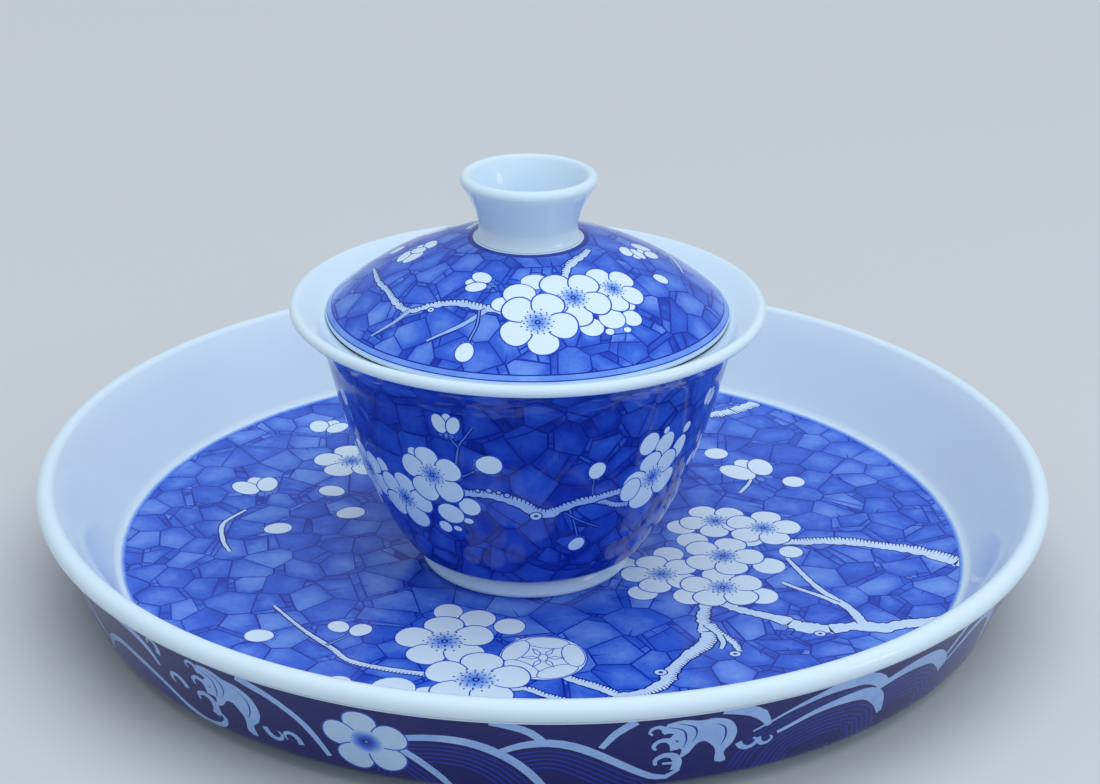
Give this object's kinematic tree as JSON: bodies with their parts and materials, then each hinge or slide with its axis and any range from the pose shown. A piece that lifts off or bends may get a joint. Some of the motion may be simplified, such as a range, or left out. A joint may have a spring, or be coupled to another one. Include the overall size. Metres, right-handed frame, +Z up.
{
  "type": "gaiwan",
  "caption": "Porcelain lidded tea bowl on a wide flat-floored dish, painted with blossom branches over blue cracked ice; the domed lid has a flared ring knob.",
  "frame": {"origin": "centre of the dish's foot ring, on the surface the set stands on", "axes": "+Z up along the dish's axis, -Y towards the front of the set"},
  "size_m": [0.2106, 0.2106, 0.091],
  "materials": {
    "painted_glaze": "glossy clear glaze over hand-painted cobalt blue on white porcelain",
    "white_glaze": "glossy clear glaze on cool white porcelain, bare clay where it stands"
  },
  "bodies": {
    "dish": {"dish_body": "painted_glaze", "dish_foot_ring": "white_glaze"},
    "bowl": {"bowl_body": "painted_glaze", "bowl_foot_ring": "white_glaze"},
    "lid": {"lid_dome": "painted_glaze", "lid_knob": "white_glaze"}
  },
  "joints": [
    {"name": "bowl_lift", "type": "slide", "parent": "dish", "child": "bowl", "axis": [0, 0, 1], "range_m": [0, 0.08]},
    {"name": "lid_lift", "type": "slide", "parent": "bowl", "child": "lid", "axis": [0, 0, 1], "range_m": [0, 0.08]}
  ]
}
